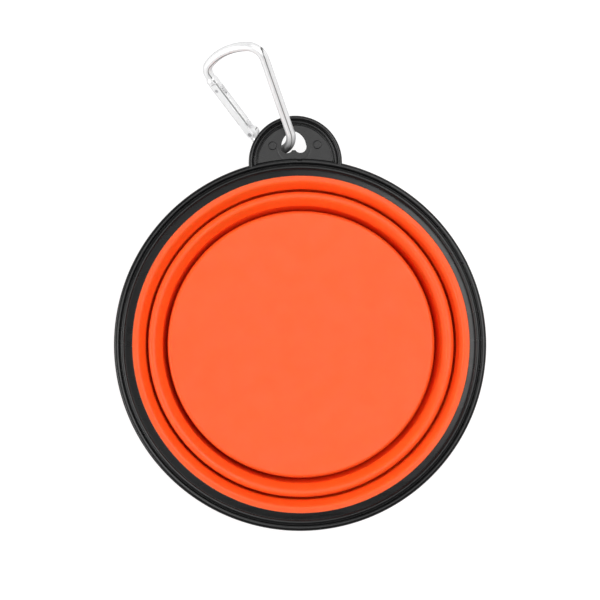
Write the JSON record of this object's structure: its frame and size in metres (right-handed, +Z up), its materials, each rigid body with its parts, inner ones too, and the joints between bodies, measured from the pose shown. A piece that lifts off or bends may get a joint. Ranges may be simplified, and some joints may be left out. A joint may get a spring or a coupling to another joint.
{
  "type": "collapsible travel bowl",
  "caption": "Folding silicone travel bowl in a rigid round rim with a hanging tab and a spring-gate snap hook, folded flat.",
  "frame": {"origin": "On the bowl's axis, at the height of the foot that the folded bowl rests on.", "axes": "+Z is up along the bowl's axis, +Y runs from the axis through the hanging tab, +X completes the right hand."},
  "size_m": [0.13, 0.171, 0.0313],
  "materials": {
    "rim_plastic": "black moulded plastic, satin",
    "silicone": "orange food silicone, matt",
    "hook_metal": "polished",
    "pin_steel": "plain"
  },
  "bodies": {
    "rim": {"rim_frame": "rim_plastic", "bowl_upper_wall": "silicone", "upper_fold": "silicone"},
    "middle": {"bowl_middle_ring": "silicone", "lower_fold": "silicone"},
    "base": {"bowl_base": "silicone"},
    "carabiner": {"carabiner_body": "hook_metal", "gate_rivet": "pin_steel"},
    "gate": {"carabiner_gate": "hook_metal", "latch_pin": "pin_steel", "gate_spring": "pin_steel"},
    "plunger": {"spring_plunger": "pin_steel"}
  },
  "joints": [
    {"name": "middle_slide", "type": "slide", "parent": "rim", "child": "middle", "axis": [0, 0, -1], "range_m": [0, 0.0234], "deforming": ["upper_fold"]},
    {"name": "base_slide", "type": "slide", "parent": "middle", "child": "base", "axis": [0, 0, -1], "range_m": [0, 0.0234], "deforming": ["lower_fold"]},
    {"name": "carabiner_swing", "type": "hinge", "parent": "rim", "child": "carabiner", "pos_m": [0, 0.0742, 0.013], "axis": [1, 0, 0], "range_deg": [0, 105]},
    {"name": "gate_swing", "type": "hinge", "parent": "carabiner", "child": "gate", "pos_m": [-0.015, 0.07462, 0.00974], "axis": [0.3544, 0.5118, -0.7826], "range_deg": [0, 35], "stiffness_Nm_per_rad": 0.04, "springref_deg": -28.65},
    {"name": "plunger_slide", "type": "slide", "parent": "gate", "child": "plunger", "axis": [-0.563, 0.785, 0.2584], "range_m": [0, 0.0006], "deforming": ["gate_spring"]}
  ],
  "couplings": [
    {"joint": "plunger_slide", "follows": "gate_swing", "m_per_rad": 0.000708}
  ]
}
